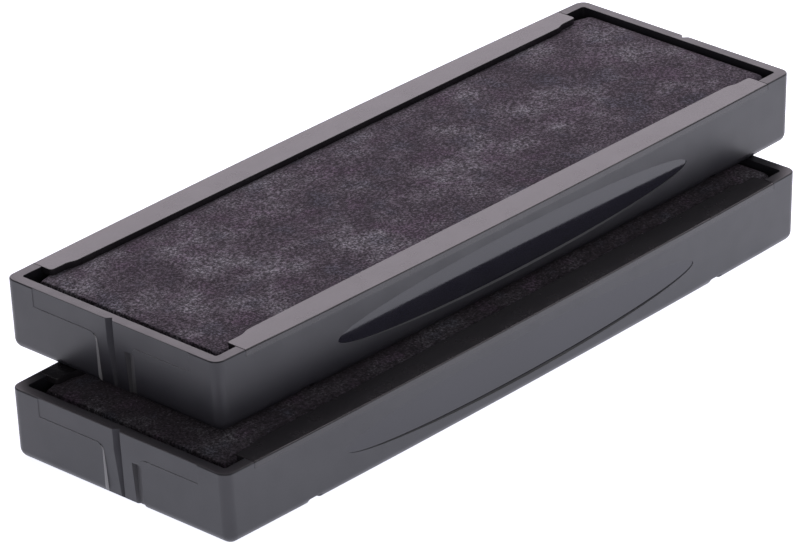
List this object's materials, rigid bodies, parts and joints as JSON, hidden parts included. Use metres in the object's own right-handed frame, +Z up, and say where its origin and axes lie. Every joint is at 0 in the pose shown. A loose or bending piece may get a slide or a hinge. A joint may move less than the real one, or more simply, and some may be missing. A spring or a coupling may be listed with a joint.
{
  "type": "ink pad",
  "caption": "Flat oblong ink pads for self-inking stamps, stacked: shallow black trays, each with cloth-covered foam held by two side strips.",
  "frame": {"origin": "middle of the stack's footprint box, on the surface that the lower tray rests on", "axes": "+Z up, +X along the pads' length towards the side that the upper pad is shifted to, +Y across their width towards the side that it is shifted to"},
  "size_m": [0.0906, 0.0352, 0.0154],
  "materials": {
    "tray_plastic": "black moulded polystyrene, satin outside",
    "strip_plastic": "black moulded polystyrene, fine matt grain",
    "ink_cloth": "ink-soaked brushed cloth, mottled dark violet grey",
    "core_foam": "ink-soaked open foam"
  },
  "bodies": {
    "lower_pad": {"lower_tray": "tray_plastic", "lower_ink_core": "core_foam", "lower_ink_cloth": "ink_cloth", "lower_front_strip": "strip_plastic", "lower_back_strip": "strip_plastic"},
    "upper_pad": {"upper_tray": "tray_plastic", "upper_ink_core": "core_foam", "upper_ink_cloth": "ink_cloth", "upper_front_strip": "strip_plastic", "upper_back_strip": "strip_plastic"}
  },
  "joints": [
    {"name": "upper_pad_lift", "type": "slide", "parent": "lower_pad", "child": "upper_pad", "axis": [0, 0, 1], "range_m": [0, 0.03]}
  ]
}
